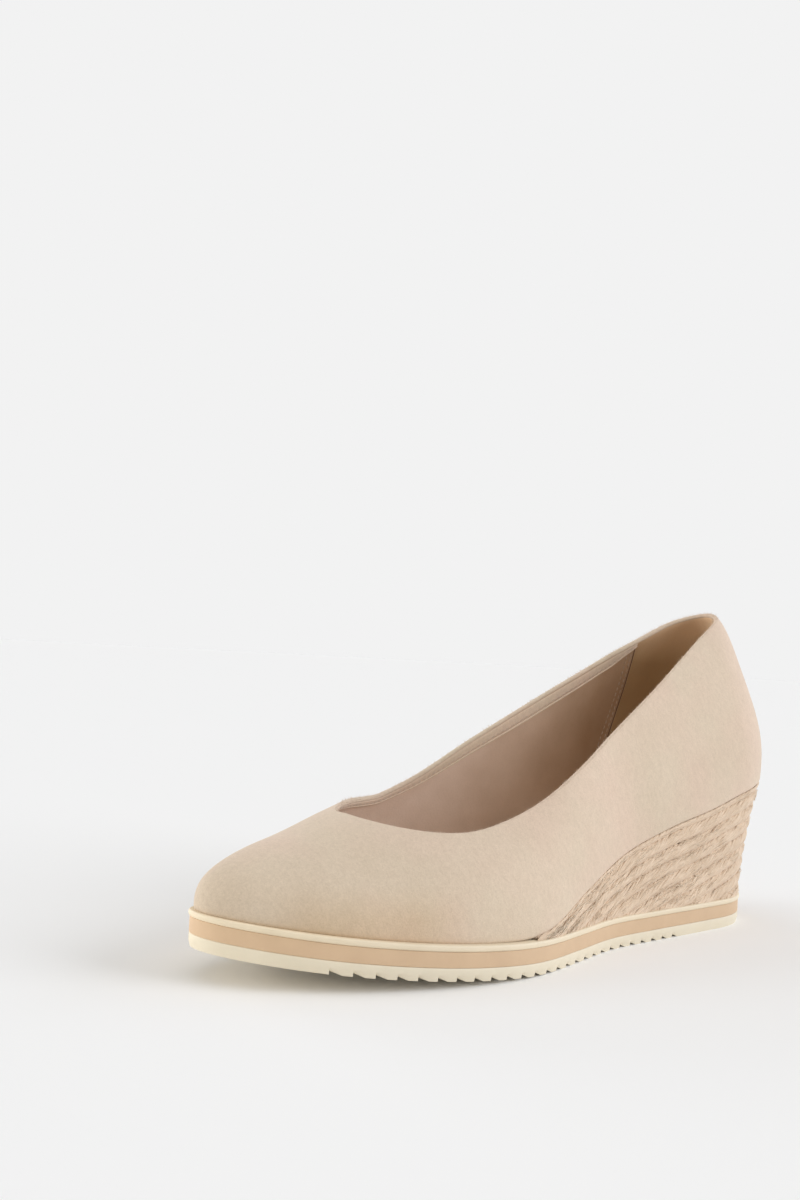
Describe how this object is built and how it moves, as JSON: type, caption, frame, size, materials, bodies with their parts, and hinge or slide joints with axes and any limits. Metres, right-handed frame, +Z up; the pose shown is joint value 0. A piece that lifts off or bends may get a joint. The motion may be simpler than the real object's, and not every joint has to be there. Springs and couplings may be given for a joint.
{
  "type": "wedge pump",
  "caption": "Closed-toe slip-on wedge pump for a left foot: hollow upper open at the collar, insole, plaited rope wedge, welt, midsole and saw-tooth outsole.",
  "frame": {"origin": "on the floor under the middle of the shoe's box", "axes": "+Z up, +Y from toe to heel, so the toe points to -Y; +X is the outer side of this left shoe"},
  "size_m": [0.0814, 0.2454, 0.1171],
  "materials": {
    "suede": "sand suede with a short nap",
    "lining": "smooth taupe lining leather",
    "sock": "smooth tan sock",
    "jute": "plaited natural jute",
    "welt": "matt cream strip",
    "midsole": "matt caramel band",
    "outsole": "matt ivory rubber"
  },
  "bodies": {
    "root": {"upper": "suede", "insole": "sock", "wedge": "jute", "welt": "welt", "midsole": "midsole", "outsole": "outsole"}
  },
  "joints": []
}
